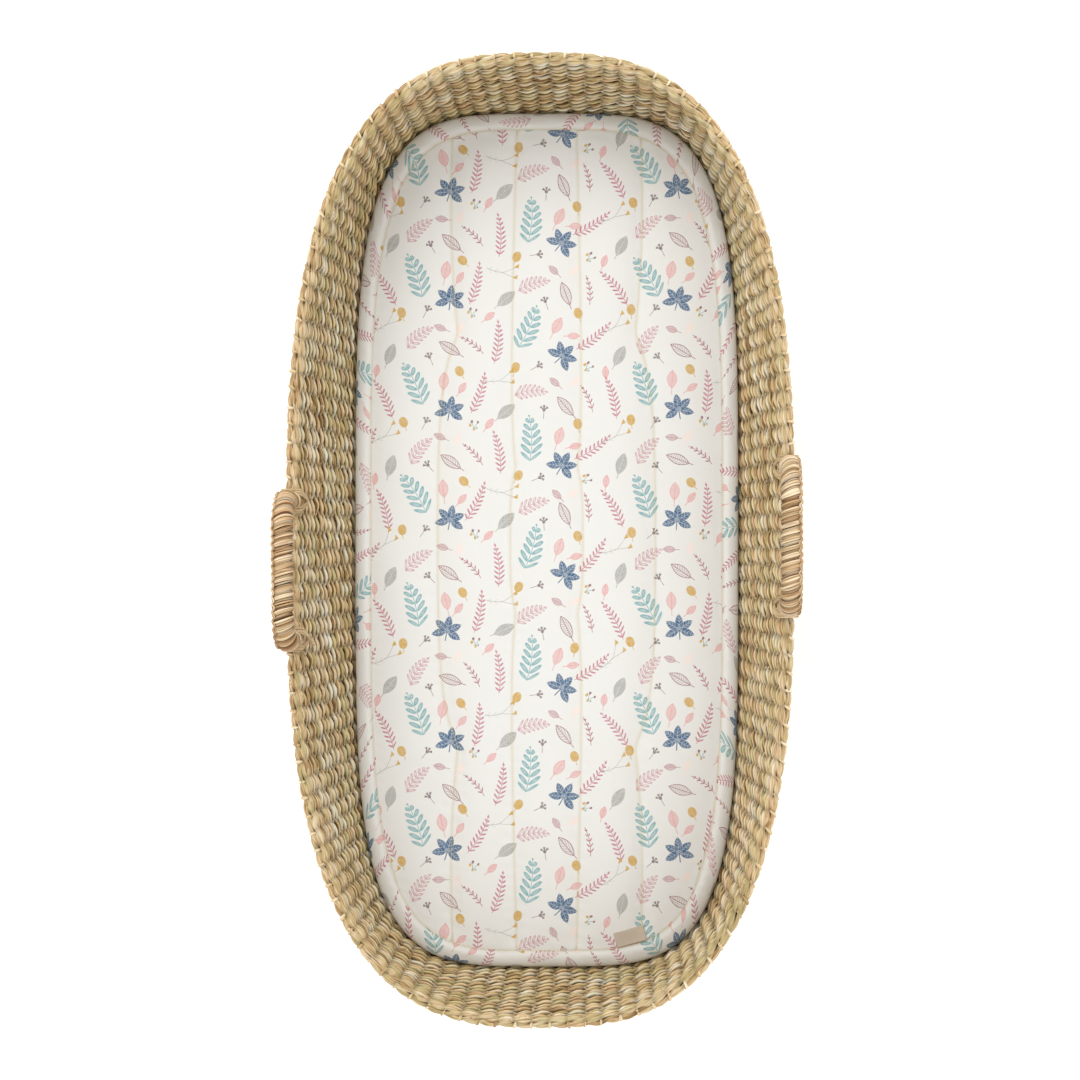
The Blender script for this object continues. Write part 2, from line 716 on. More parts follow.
def handle_rope(name, side, shift):
    """The rope under the winding: three lobes twisting along the arch, with a round end on each foot."""
    s = np.linspace(-CORE_RADIUS, ARCH_S[-1] + CORE_RADIUS, 110)
    past = np.clip(np.maximum(-s, s - ARCH_S[-1]), 0, CORE_RADIUS * 0.995)
    radius = np.sqrt(CORE_RADIUS**2 - past**2)
    angle = circle(18)
    lobe = 1 - ROPE_LOBE + ROPE_LOBE * np.cos(3 * angle - s[:, None] / ROPE_LAY)
    out = radius[:, None] * lobe
    inside = np.clip(s, 0, ARCH_S[-1])[:, None]
    points = off_arch(inside, out * np.cos(angle), out * np.sin(angle))
    points[..., 2] -= past[:, None]
    values = {"tone": 0.5, "tint": 0.2, "dip": (1 - lobe) * 4}
    place = on_rim(side, shift, points)[None, :, ::-1]
    piece = tube_piece(f"{name}_rope", place, ROPE, name, "handle_rope", values, 36.0, False, 90)
    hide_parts(f"{name}_core")


def handle_winding(name, side, shift, seed):
    """Raffia wound round the rope in flat bundles: strands side by side that spiral along the arch together.

    The strands spread apart on top and draw in at the sides, where one turn tucks against the next, and the
    middle ones stand highest. The spiral's pitch and its lean wander a little from turn to turn.
    """
    random = np.random.default_rng(seed)
    start, end = WRAP_START, ARCH_S[-1] - WRAP_START
    turns = int((end - start) / WRAP_PITCH)
    rows = turns * 24
    share = np.arange(rows) / (rows - 1)
    turn = share * turns
    angle = 2 * math.pi * turn

    def noise(knots):
        return smooth_noise(random, knots, share)

    def own(knots):
        """Noise of its own for each strand."""
        return np.stack([noise(knots) for _ in range(WRAP_STRANDS)])

    wander = 0.8 * noise(turns) + 0.4 * noise(turns * 2)
    middle = mix(start + 2.5, end - 2.5, share) + wander + 1.7 * np.sin(angle + 0.6)
    ends = np.clip(np.minimum(turn, turns - turn) * 3, 0.05, 1) ** 0.5
    top = np.abs(np.cos(angle))
    strand = np.linspace(-1, 1, WRAP_STRANDS)[:, None]
    spread = ends * WRAP_PITCH * (0.28 + 0.16 * top) * (1 + 0.16 * noise(turns * 2))
    s = np.clip(middle + strand * spread + 0.4 * own(turns * 2), start, end)
    half = ends * WRAP_PITCH * (0.12 + 0.05 * top) * (1 + 0.25 * own(turns * 2))
    radius = WRAP_RADIUS - 0.85 - 0.6 * strand**2 + 0.45 * own(turns * 2)
    along = half[..., None] * np.cos(circle(8))
    away = radius[..., None] + 0.8 * ends[:, None] * np.sin(circle(8))
    points = off_arch(s[..., None] + along, away * np.sin(angle)[:, None], away * np.cos(angle)[:, None])
    tone = 0.55 + 0.2 * noise(turns) + 0.45 * own(turns)
    dip = np.clip(0.5 * np.abs(strand) ** 3 + 0.3 * (1 - top), 0, 1)
    values = {"tone": tone[..., None], "tint": 0.4 + 0.3 * own(9)[..., None], "dip": dip[..., None]}
    place = on_rim(side, shift, points)[:, :, ::-1]
    piece = tube_piece(f"{name}_winding_raffia", place, RAFFIA, name, "handle_cord", values, 6.0, False, seed)
    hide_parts(f"{name}_winding")


BINDING = {"tone": 0.35, "tint": 0.4, "dip": 0.1}


def handle_hitches(name, side, shift, seed):
    """Hitches along the winding's outer side: a thin strand that steps to and fro as each turn locks it."""
    random = np.random.default_rng(seed)
    start, end = WRAP_START + 8, ARCH_S[-1] - WRAP_START - 8
    rows = 220
    share = np.linspace(0, 1, rows)
    turn = 2 * math.pi * share * (end - start) / WRAP_PITCH
    angle = side * (0.85 + 0.13 * np.sin(turn) + 0.06 * smooth_noise(random, 20, share))
    radius = WRAP_RADIUS + 0.3 + 0.45 * np.cos(turn)
    size = 1.15 * np.sin(np.linspace(0.15, math.pi - 0.15, rows)) ** 0.3
    s = mix(start, end, share)
    path = off_arch(s, radius * np.sin(angle), radius * np.cos(angle))
    points = carried(path[None], (path - off_arch(s, 0.0, 0.0))[None], size[None, :, None], 7)
    place = on_rim(side, shift, points)
    tube_piece(f"{name}_hitches", place, RAFFIA, name, "handle_cord", BINDING, 7.0, False, seed)


# ---------------------------------------------------------------- lashings
SADDLE_TOP = 172.1  # middle of the cord where it crosses the rim
SADDLE_DROP = 3.2  # from there to where its legs begin
SADDLE_SHARE = 0.42  # of the cord's length that lies over the rim
LASHING_HALF = 8.2  # from the rim's middle to the cord's, at the rim's height
LASHING_FOOT = 151.5
LASHING_CORD = 1.05
LOOP_PLACES = np.array([-9.6, -7.6, -5.6, 5.6, 7.6, 9.6])
COLLAR_RADIUS = 7.7
COLLAR_CORD = 1.1


def lashing_loops(side, end, random):
    """Cords astride the rim beside a handle's foot: up the outside, over the border and down the inside.

    The outline is a superellipse over the rim whose legs lean with the wall, and each leg's foot is drawn in
    towards the one below the handle, so that the cords cross the faces at a slant.
    """
    share = np.linspace(-1, 1, 26)[None]
    over = np.minimum(np.abs(share) / SADDLE_SHARE, 1)
    fall = np.clip((np.abs(share) - SADDLE_SHARE) / (1 - SADDLE_SHARE), 0, 1)
    z = SADDLE_TOP - SADDLE_DROP * over**2.4 - fall * (SADDLE_TOP - SADDLE_DROP - LASHING_FOOT)
    lean = half_width(RIM_HEIGHT) - half_width(np.minimum(z, RIM_HEIGHT))
    tuck = np.clip(fall - 0.75, 0, 1) * 4 * 2.6
    x = np.sign(share) * (LASHING_HALF * np.sin(over * math.pi / 2) - tuck) - lean
    slant = LOOP_PLACES[:, None] * (1 - 1.1 * fall * np.where(share > 0, 1, 0.8))
    y = slant + random.uniform(-0.4, 0.4, (len(LOOP_PLACES), 1)) + end * HANDLE_SPAN / 2
    return np.stack(np.broadcast_arrays(side * x, y, z - HINGE_HEIGHT), -1)


def make_lashings(name, side, shift, seed):
    """The two lashings of a handle, each with a collar of cord round the foot above its loops."""
    random = np.random.default_rng(seed)
    round_foot = np.linspace(0, 2 * math.pi, 40, endpoint=False)
    turns = np.array([0.0, 1.0])[:, None]
    radius = COLLAR_RADIUS + 0.25 * np.sin(3 * round_foot + 2 * turns)
    height = -4.9 - 1.9 * turns + 0.35 * np.sin(2 * round_foot + turns)
    for label, end in (("foot", -1), ("head", 1)):
        title = f"{name}_lashing_{label}"
        path = lashing_loops(side, end, random)
        inwards = np.array([0.0, end * HANDLE_SPAN / 2, -30.0]) - path
        size = LASHING_CORD * (1 + 0.06 * np.cos(4 * circle(8)))
        place = on_rim(side, shift, carried(path, -inwards, size, 8))
        tone = random.uniform(0.0, 0.5, (len(path), 1, 1))
        values = {"tone": tone, "tint": 1 - tone, "dip": 0.05}
        piece = tube_piece(f"{title}_cords", place, RAFFIA, "basket", "handle_cord", values, 8.0, False, seed)
        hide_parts(title)
        y = radius * np.sin(round_foot) + end * HANDLE_SPAN / 2
        ring = np.stack([radius * np.cos(round_foot), y, height], -1)
        collar = carried(ring, np.array([0, 0, 1.0]), COLLAR_CORD, 8, closed=True)
        place = on_rim(side, shift, collar)
        tube_piece(f"{title}_collar", place, RAFFIA, "basket", "handle_cord", BINDING, 8.0, True, seed + 1)


for k, (handle, (side, shift)) in enumerate(HANDLES.items()):
    handle_rope(handle, side, shift)
    handle_winding(handle, side, shift, 91 + k)
    handle_hitches(handle, side, shift, 95 + k)
    make_lashings(handle, side, shift, 101 + 3 * k)


# ---------------------------------------------------------------- the mattress cover's cloth
PRINT_ACROSS = 104.0  # the print's repeat
PRINT_ALONG = 100.0
SPRIG_SHIFT = 4.0
FINGER_ANGLE = 0.98
STITCH_LENGTH = 1.3
GROUND = linear(233, 233, 231)
ROSE = linear(192, 108, 130)
DEEP_ROSE = linear(170, 84, 102)
TEAL = linear(112, 170, 176)
NAVY = linear(40, 92, 134)
MUSTARD = linear(208, 164, 62)
GREY = linear(168, 168, 164)
PINK = linear(226, 152, 152)
BURGUNDY = linear(142, 62, 80)
BARK = linear(112, 88, 92)
BLUSH = linear(247, 226, 217)


def lens(u, v, length, width):
    """How far inside a pointed leaf a place lies, in millimetres: its edge is a parabola from tip to tip."""
    share = u * (2 / length)
    return width / 2 * (1 - share * share) - abs(v)


def ribs(u, v, pitch, slant, line):
    """1 on a leaf's midrib and on its ribs, which slant back from it at an even pitch."""
    place = (u - abs(v) * slant) / pitch
    gap = abs(place - place.nearest()) * pitch
    return gap.under(line, 0.12).most(abs(v).under(line, 0.12))


def stem(u, v, start, end, half=0.3):
    """1 on a thin stalk between two places along it."""
    middle, reach = (start + end) / 2, (end - start) / 2
    return abs(v).under(half, 0.12) * abs(u - middle).under(reach, 0.2)


def leafy_sprig(u, v, length, reach, pitch, slant, bend, plump, hollow=0.0):
    """A stalk bent to a parabola, with pairs of leaflets: ellipses, some hollow, shorter towards its tip."""
    v = v - u * u * bend
    side = abs(v)
    place = (u - side * slant) / pitch
    off = (place - place.nearest()) * (pitch / plump)
    end = u * (2 / length)
    size = reach * (1 - 0.5 * (u / length + 0.5)) * (1.02 - end * end * end * end)
    out = side / size * 2 - 1.1
    inside = off * off + out * out
    leaflets = inside.under(1.0, 0.22) * (1 - hollow * inside.under(0.3, 0.2))
    return leaflets.most(side.under(0.3, 0.12)) * abs(u).under(length / 2, 0.3)


def netted_leaf(u, v, length, width, pitch, stalk_start, stalk_end):
    """A leaf washed in pale on a stalk, with its edge and its ribs in full colour."""
    inside = lens(u, v, length, width)
    lines = ribs(u, v, pitch, 1.0, 0.22).most(inside.under(0.6, 0.15))
    return (inside.over(0, 0.2) * (0.5 + 0.5 * lines)).most(stem(u, v, stalk_start, stalk_end))


def veined_leaf(u, v):
    blade = lens(u, v, 21, 10).over(0, 0.2) * (1 - 0.8 * ribs(u, v, 1.9, 0.9, 0.16))
    return blade.most(stem(u, v, -14, -9))


def outline_leaf(u, v):
    inside = lens(u, v, 23, 9.5)
    edge = abs(inside - 0.35).under(0.35, 0.12)
    return edge.most(inside.over(0, 0.15) * ribs(u, v, 1.9, 0.8, 0.24)).most(stem(u, v, -15, 9))


def round_leaf(u, v):
    disc = (u * u * 0.62 + v * v).under(15, 1.8)
    return (disc * (1 - 0.4 * ribs(u, v, 1.8, 0.6, 0.12))).most(stem(u, v, -8.5, -4.5))


def palm_leaf(u, v):
    """Five veined leaves spread like fingers: each place is turned into its own leaf's frame."""
    turn = v.turn_from(u)
    turn = turn - (turn / FINGER_ANGLE).nearest().least(2).most(-2) * FINGER_ANGLE
    reach = (u * u + v * v).root()
    along, across = reach * turn.cosine() - 7.2, reach * turn.sine()
    leaf = lens(along, across, 14.5, 6.8).over(0, 0.2) * (1 - 0.75 * ribs(along, across, 2.9, 0.8, 0.15))
    return leaf.most(stem(u, v, -9, 0, 0.45))


def bud(u, v):
    """A tuft: a sector of a small disc, striped like petals, on a stalk."""
    reach = (u * u + v * v).root()
    turn = abs(v.turn_from(u))
    stripes = (turn * 7).cosine().over(-0.35, 0.5)
    tuft = reach.under(4.4, 0.4) * turn.under(1.25, 0.1) * stripes
    return tuft.most(reach.under(1.5, 0.25)).most(stem(u, v, -8, 0, 0.25))


def bell_stalks(u, v):
    bent = v - u * u * 0.012
    twigs = ribs(u, bent, 5.5, 1.3, 0.2) * abs(bent).under(2.6, 0.2) * (u - 1).under(0, 0.2)
    forked = abs(abs(bent) - (u - 2) * 0.42).under(0.25, 0.12) * (u - 2).over(0, 0.2)
    return twigs.most(forked).most(abs(bent).under(0.28, 0.12) * u.under(2, 0.2)) * abs(u).under(13, 0.2)


def bells(u, v):
    """Two small triangles at the ends of the forked stalk."""
    bent = abs(v - u * u * 0.012) - 4.9
    width = (u - 11.2) * 0.5
    return (width - abs(bent)).over(0, 0.2) * u.under(15.6, 0.2)


def dots(u, v, at, size):
    x, y = u - at[0], v - at[1]
    return (x * x + y * y * 1.8).under(size * size, 0.8)


def two_dots(u, v, first, first_size, second, second_size):
    return dots(u, v, first, first_size).most(dots(u, v, second, second_size))


def teal_twig(u, v):
    fork = abs(abs(v) - (u + 3) * 0.45).under(0.3, 0.12) * abs(u).under(3, 0.2)
    return fork.most(dots(u, v, (-2.2, -2.6), 1.1))


# Measures of the shapes that come in more than one size, in the order of their functions' arguments.
FERN = (leafy_sprig, 40, 5.6, 4.4, 0.75, 0.006, 0.98)
BROAD_FERN = (leafy_sprig, 31, 7.6, 4.6, 0.8, -0.011, 1.5, 0.78)
SLIM_SPRIG = (leafy_sprig, 27, 3.6, 4.9, 1.0, 0.01, 0.8)
TEAL_SPRIG = (leafy_sprig, 42, 11.5, 7.0, 0.8, 0.005, 2.4, 0.3)
PINK_LEAF = (netted_leaf, 17, 9, 2.3, -14, 5)
SMALL_LEAF = (netted_leaf, 12, 6, 2.0, -9.5, 3)
BERRY_DOTS = (two_dots, (2.8, 2.6), 1.5, (3.2, -2.8), 1.3)
GOLD_DOTS = (two_dots, (-0.5, 3.6), 1.6, (-3.4, -0.4), 1.5)

# Each sprig: its shape, its colour, its place in the repeat, how it is turned in radians, and its strength.
SPRIGS = [
    (SMALL_LEAF, BLUSH, (25, 43), 0.9, 1.0),
    (TEAL_SPRIG, TEAL, (-14, -8), 1.65, 0.95),
    (FERN, ROSE, (-42, -21), 1.75, 0.95),
    ((palm_leaf,), NAVY, (15, -33), 1.2, 1.0),
    (FERN, ROSE, (43, -16), 1.0, 0.95),
    ((veined_leaf,), GREY, (-37, 18), 0.8, 1.0),
    ((outline_leaf,), BURGUNDY, (17, 22), 2.3, 0.9),
    (BROAD_FERN, ROSE, (-13, 34), 0.5, 0.75),
    (PINK_LEAF, PINK, (11, -5), 1.3, 0.95),
    (SLIM_SPRIG, DEEP_ROSE, (38, 28), 2.0, 0.95),
    ((bell_stalks,), GREY, (-43, 43), 0.3, 0.9),
    ((bells,), MUSTARD, (-43, 43), 0.3, 1.0),
    ((round_leaf,), MUSTARD, (-27, -42), 1.5, 1.0),
    ((bud,), BARK, (-6, -42), 0.6, 0.9),
    (BERRY_DOTS, BURGUNDY, (38, -44), 0.9, 0.95),
    (GOLD_DOTS, MUSTARD, (38, -44), 0.9, 1.0),
    ((teal_twig,), TEAL, (38, -44), 0.9, 0.9),
    (SMALL_LEAF, PINK, (-51, 4), 1.1, 1.0),
    ((round_leaf,), MUSTARD, (27, 4), 1.9, 1.0),
    (SMALL_LEAF, DEEP_ROSE, (8, 43), 2.6, 0.75),
    ((bud,), BARK, (-2, 16), 1.9, 0.9),
    (SMALL_LEAF, PINK, (26, -13), 0.5, 0.95),
]


def sprig_place(paint, x, y, at, turn, seed):
    """Where a point of the cloth lies along and across its own sprig, in millimetres.

    The sprigs stand on a half-drop repeat. Chance turns each a little and moves it by up to half the shift.
    """
    x, y = x - at[0], y - at[1]
    column = (x / PRINT_ACROSS).nearest()
    odd = column % 2
    y = y + odd * (PRINT_ALONG / 2)
    row = (y / PRINT_ALONG).nearest()
    swing, right, forward = paint.white_noise(column, row, seed)
    x = x - column * PRINT_ACROSS + right * SPRIG_SHIFT - SPRIG_SHIFT / 2
    y = y - row * PRINT_ALONG + forward * SPRIG_SHIFT - SPRIG_SHIFT / 2
    angle = odd * 0.55 + swing * 0.5 + turn - 0.5
    c, s = angle.cosine(), angle.sine()
    return x * c + y * s, y * c - x * s


def printed_cotton():
    """Cream cotton printed with leaves and sprigs, its threads showing as a fine bump, with cream seams."""
    paint = Paint("printed cotton", 0.88, Specular_IOR_Level=0.25, Sheen_Weight=0.25, Sheen_Roughness=0.5)
    x, y, _ = paint.split(paint.uv("cloth"))
    x, y = x * 1000, y * 1000
    ragged = paint.noise(paint.place(x, y), 1.1, 2.0)
    washed = paint.noise(paint.place(x, y), 0.3, 1.0)
    worn = 1.16 - 0.22 * ragged.over(0.58, 0.12) - 0.5 * washed
    colour = paint.blend(paint.noise(paint.place(x, y), 0.012, 2.0), GROUND, linear(232, 231, 226))
    for (shape, *measures), ink, at, turn, strength in SPRIGS:
        u, v = sprig_place(paint, x, y, at, turn, at[0] * 3 + at[1])
        colour = paint.blend(shape(u, v, *measures) * worn * strength, colour, ink)
    gap = paint.attribute("gap")
    near_seam = gap.under(1.5, 1.5)
    colour = paint.blend(near_seam * 0.4, colour, linear(236, 228, 206), "MULTIPLY")
    along = paint.attribute("along")
    stitch = (along * (math.pi / STITCH_LENGTH)).sine().over(-0.5, 0.4) * gap.under(0.45, 0.2)
    colour = paint.blend(stitch * 0.45, colour, linear(222, 208, 166))
    weft = paint.noise(paint.place(x * 2.4, y * 0.5), 1.0, 1.0)
    threads = weft + paint.noise(paint.place(x * 0.5, y * 2.4), 1.0, 1.0)
    soft = paint.noise(paint.place(x, y), 0.045, 2.0)
    height = threads * 0.25 + soft * 0.9 + stitch * 0.5
    return paint.finish(colour, 0.84 + 0.08 * ragged, height, 0.5, 0.0009)


COTTON = printed_cotton()

# ---------------------------------------------------------------- the mattress's shape
MATTRESS_BOTTOM = 10.6
MATTRESS_ROOM = 0.9
SEAM_INSET = 13.0
BAND_WIDEST = 39.58
SEAM_HEIGHT = 47.0
ZIP_LOW = 20.75
ZIP_HIGH = 32.75
ZIP_RECESS = 5.1
BAND_TUCK = 9.0
CROWN = 3.6
VALLEY_DEPTH = 2.6
CHANNEL_CELLS = (11, 12, 12, 12, 11)
LONG_CELLS = 134
CHANNEL_MARKS = np.array([-160.4, -99.0, -33.0, 33.0, 99.0, 160.4])
SEAM_BOW = 0.19  # how much the lengthwise seams draw in towards the ends
BAND_PRINT = [37, 640]  # where the band and the underside are cut from the printed cloth
UNDERSIDE_PRINT = [230, 310]
SWELL_FRAMES = 20
SWELL_PRESSURE = 4.0
SWELL_CAP = 4.0


def mattress_half_width(z, inset):
    return half_width(z) - WALL - MATTRESS_ROOM - inset


SEAM_HALF = mattress_half_width(BAND_WIDEST, SEAM_INSET)
SEAM_LONG = long_half(SEAM_HALF, SEAM_HEIGHT)


def panel_points(r, z):
    """A flat panel's grid of points, on lines across and along an oval of half-width r.

    A square of shares from -1 to 1 is drawn in along each ray until its edge lies on the superellipse. The
    lines along it bow in towards the ends, more so near the middle. Returns the points and each one's share
    of the way out to the edge.
    """
    marks = CHANNEL_MARKS / CHANNEL_MARKS[-1]
    spans = [np.linspace(marks[k], marks[k + 1], n, endpoint=False) for k, n in enumerate(CHANNEL_CELLS)]
    a = np.concatenate([*spans, [1.0]])
    b = np.linspace(-1, 1, LONG_CELLS + 1)
    b = b * (1 + 0.06 * (1 - b * b))
    a, b = np.meshgrid(a, b, indexing="ij")
    a = a * (1 - SEAM_BOW * b * b * (1 - a * a))
    n = squareness(z)
    ring = np.maximum(np.abs(a), np.abs(b))
    power = np.abs(a) ** n + np.abs(b) ** n
    draw = ring * np.where(power > 0, power, 1) ** (-1 / n)
    return np.stack([r * a * draw, long_half(r, z) * b * draw, np.full_like(a, z)], -1), ring


def panel_edge(columns, rows):
    """The indices of a panel's edge points in order round it, anticlockwise from its foot-left corner."""
    foot = np.arange(columns - 1) * rows
    right = (columns - 1) * rows + np.arange(rows - 1)
    head = np.arange(columns - 1, 0, -1) * rows + rows - 1
    left = np.arange(rows - 1, 0, -1)
    return np.concatenate([foot, right, head, left])


# The side band's section, from the top seam down: how far in from the widest line, and how high.
BAND_PROFILE = [
    (SEAM_INSET - 2.2, 47.3),
    (SEAM_INSET - 4.8, 48.3),
    (SEAM_INSET - 7.8, 47.6),
    (0.4, 45.9),
    (-1.7, 43.1),
    (-2.0, 39.4),
    (-0.5, 36.0),
    (ZIP_RECESS - 0.5, ZIP_HIGH + 0.4),
    (ZIP_RECESS, 30.0),
    (ZIP_RECESS, 26.7),
    (ZIP_RECESS, 23.0),
    (ZIP_RECESS, ZIP_LOW),
    (ZIP_RECESS + 0.6, 16.5),
    (ZIP_RECESS + 1.6, 13.2),
    (BAND_TUCK, 11.3),
    (BAND_TUCK + 2.5, MATTRESS_BOTTOM),
]


def same_ray(tau, r, z):
    """The angle on the oval of half-width r at height z that lies on the same ray as tau does at the seam."""
    return np.arctan2(np.sin(tau) * SEAM_LONG / long_half(r, z), np.cos(tau) * SEAM_HALF / r)


def quilted_top():
    """The top panel, crowned in the middle and drawn down along its seams by a bell curve of the distance.

    Returns its points, the distance to the nearest seam and along it, which points stay put, and how many
    columns and rows it has.
    """
    top, ring = panel_points(SEAM_HALF, SEAM_HEIGHT)
    columns, rows = top.shape[:2]
    seams = np.cumsum(CHANNEL_CELLS)[:-1]
    quilt_gap = np.abs(top[None, ..., 0] - top[seams][:, None, :, 0]).min(0)
    n = squareness(SEAM_HEIGHT)
    radius = (np.abs(top[..., 0] / SEAM_HALF) ** n + np.abs(top[..., 1] / SEAM_LONG) ** n) ** (1 / n)
    edge_gap = (1 - radius) * mix(SEAM_HALF, SEAM_LONG, np.abs(top[..., 1]) / SEAM_LONG)
    valley = np.exp(-((quilt_gap / 6.0) ** 2))
    top[..., 2] += CROWN * (1 - radius**7) - VALLEY_DEPTH * valley * np.clip(edge_gap / 12, 0, 1)
    pinned = np.isin(np.arange(columns), seams)[:, None] | (ring > 0.9999)
    along = np.where(quilt_gap < edge_gap, top[..., 1], 0.0)
    flat = [values.ravel() for values in (np.minimum(quilt_gap, edge_gap), along, pinned)]
    return top.reshape(-1, 3), *flat, columns, rows


def mattress_grid():
    """The cover as one closed skin: the top panel, the side band in rings down its section, and the base.

    Returns points, quads, corner UVs, the distance to the nearest seam and along it, and the held points.
    """
    top, gap, along, pinned, columns, rows = quilted_top()
    edge = panel_edge(columns, rows)
    tau = np.arctan2(top[edge, 1] / SEAM_LONG, top[edge, 0] / SEAM_HALF)
    halves = [(mattress_half_width(min(z, BAND_WIDEST), inset), z) for inset, z in BAND_PROFILE]
    bands = np.stack([oval(half, z, same_ray(tau, half, z)) for half, z in halves])
    bottom, _ = panel_points(halves[-1][0], MATTRESS_BOTTOM)
    points = np.concatenate([top, bands[:-1].reshape(-1, 3), bottom.reshape(-1, 3)])

    count, first_band = len(edge), len(top)
    first_bottom = len(points) - len(top)
    middle_rings = [first_band + k * count + np.arange(count) for k in range(len(bands) - 1)]
    rings = [edge, *middle_rings, first_bottom + edge]
    i, j = np.meshgrid(np.arange(columns - 1), np.arange(rows - 1), indexing="ij")
    corner = (i * rows + j).ravel()
    top_quads = np.stack([corner, corner + rows, corner + rows + 1, corner + 1], -1)
    bottom_quads = first_bottom + top_quads[:, ::-1]
    pairs = [(ring, below, np.roll(below, -1), np.roll(ring, -1)) for ring, below in zip(rings, rings[1:])]
    quads = np.concatenate([top_quads, *[np.stack(pair, -1) for pair in pairs], bottom_quads])

    length = running(np.linalg.norm(np.roll(bands[4], -1, 0) - bands[4], axis=1))
    down = running(np.linalg.norm(np.diff(bands, axis=0), axis=2).mean(1)) + 2.5
    down = np.concatenate([[0], down])
    near, far = length[:-1], length[1:]
    band_uv = []
    for above, below in zip(down, down[1:]):
        corners = [(near, above), (near, below), (far, below), (far, above)]
        corner_uv = [np.stack(np.broadcast_arrays(around, -fall), -1) for around, fall in corners]
        band_uv.append(np.stack(corner_uv, 1) + BAND_PRINT)
    flat = points[:, :2]
    uv = np.concatenate([flat[top_quads], *band_uv, flat[bottom_quads] * [1, -1] + UNDERSIDE_PRINT]) * MM

    spare = len(points) - first_band
    gaps = np.concatenate([gap, np.full(spare, 30.0)])
    alongs = np.concatenate([along, np.zeros(spare)])
    for k, ring in enumerate(rings[:4]):
        alongs[ring] = near
        if k:
            gaps[ring] = down[k]
    held = np.concatenate([pinned, points[first_band:, 2] < 38])
    held[rings[-1]] = True
    return points, quads, uv, gaps, alongs, held


def vertex_places(mesh):
    """A mesh's points, in metres."""
    places = np.empty(len(mesh.vertices) * 3, np.float32)
    mesh.vertices.foreach_get("co", places)
    return places.reshape(-1, 3)


def settled(piece):
    """A piece as its modifiers leave it."""
    return piece.evaluated_get(bpy.context.evaluated_depsgraph_get())


def swell(points, quads, held):
    """Cloth pressed out from inside while its seams are held, with each point's move capped."""
    mesh = bpy.data.meshes.new("swell")
    mesh.from_pydata(points * MM, [], quads)
    trial = new_object("swell", mesh)
    pins = trial.vertex_groups.new(name="seams")
    pins.add(np.flatnonzero(held).tolist(), 1.0, "REPLACE")
    cloth = trial.modifiers.new("cloth", "CLOTH")
    cloth.settings.vertex_group_mass = "seams"
    cloth.settings.quality = 5
    cloth.settings.use_pressure = True
    cloth.settings.uniform_pressure_force = SWELL_PRESSURE
    cloth.settings.effector_weights.gravity = 0
    cloth.point_cache.frame_start = 1
    cloth.point_cache.frame_end = SWELL_FRAMES
    for frame_number in range(1, SWELL_FRAMES + 1):
        bpy.context.scene.frame_set(frame_number)
    move = vertex_places(settled(trial).data) / MM - points
    bpy.data.objects.remove(trial)
    bpy.data.meshes.remove(mesh)
    bpy.context.scene.frame_set(1)
    size = np.linalg.norm(move, axis=1, keepdims=True)
    return points + move * np.minimum(1, SWELL_CAP / np.maximum(size, 1e-9))


def pucker(mesh):
    """Small gathers beside the seams, square to them and fading with distance, on a slowly uneven filling.

    The gathers and the unevenness are sums and products of sines whose phases are bent by slower sines.
    """
    place = vertex_places(mesh)
    gap = np.empty(len(place), np.float32)
    mesh.attributes["gap"].data.foreach_get("value", gap)
    x, y, z = (place / MM).T
    upper = np.clip((z - 40) / 6, 0, 1)
    gather = np.exp(-((gap / 9) ** 2)) * (1 - np.exp(-((gap / 2.5) ** 2)))
    wave = np.sin(y / 1.9 + 2.2 * np.sin(y / 17) + x / 9)
    wave = wave + 0.6 * np.sin(x / 2.3 + 1.7 * np.sin(x / 13) + y / 11)
    slow = np.sin(x / 23 + 1.3 * np.sin(y / 41)) * np.sin(y / 29 + 0.8 * np.sin(x / 19))
    place[:, 2] += (upper * (0.34 * gather * wave + 0.35 * slow * np.clip(gap / 12, 0, 1))) * MM
    mesh.vertices.foreach_set("co", place.ravel())
    mesh.update()


def make_mattress():
    """The padded mattress: its skin swells between the seams, is smoothed, and puckers at the stitching."""
    points, quads, uv, gaps, alongs, held = mattress_grid()
    points = swell(points, quads, held)
    values = {"gap": gaps, "along": alongs}
    cloth = (COTTON, "mattress", "printed_cotton")
    piece = make_piece("mattress_cover", points, quads, *cloth, uv, "cloth", values)
    smooth = piece.modifiers.new("smooth", "SUBSURF")
    smooth.levels = 1
    smooth.render_levels = 1
    finished = bpy.data.meshes.new_from_object(settled(piece))
    piece.modifiers.remove(smooth)
    rough = piece.data
    piece.data = finished
    bpy.data.meshes.remove(rough)
    pucker(finished)
    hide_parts("foam_core", "cover_base", "cover_side", "cover_quilt")


make_mattress()

# ---------------------------------------------------------------- label and zip
LABEL_WIDTH = 28.0
LABEL_LENGTH = 14.0
LABEL_ANGLE = math.radians(-63.75)
LABEL_STEP = math.radians(3.75)
LABEL_FACES = (0.3, 1.25)  # how far its two faces lie above the cloth
ZIP_HEIGHT = 26.75
COIL_PITCH = 1.7
COIL_OUT = 2.1  # from the tape's line to the coil's middle
COIL_HALF_DEPTH = 0.42
COIL_HALF_HEIGHT = 1.35
COIL_THREAD = 0.28


def cloth_height(x, y):
    """The cover's height under each place: a mean of nearby points, weighted by a bell curve of distance."""
    place = vertex_places(bpy.data.objects["mattress_cover"].data) / MM
    middle = np.array([x.mean(), y.mean()])
    near = place[(place[:, 2] > 44) & (np.abs(place[:, :2] - middle).max(1) < 30)]
    gap = (x[..., None] - near[:, 0]) ** 2 + (y[..., None] - near[:, 1]) ** 2
    weight = np.exp(-gap / 9) + 1e-12
    return (weight * near[:, 2]).sum(-1) / weight.sum(-1)


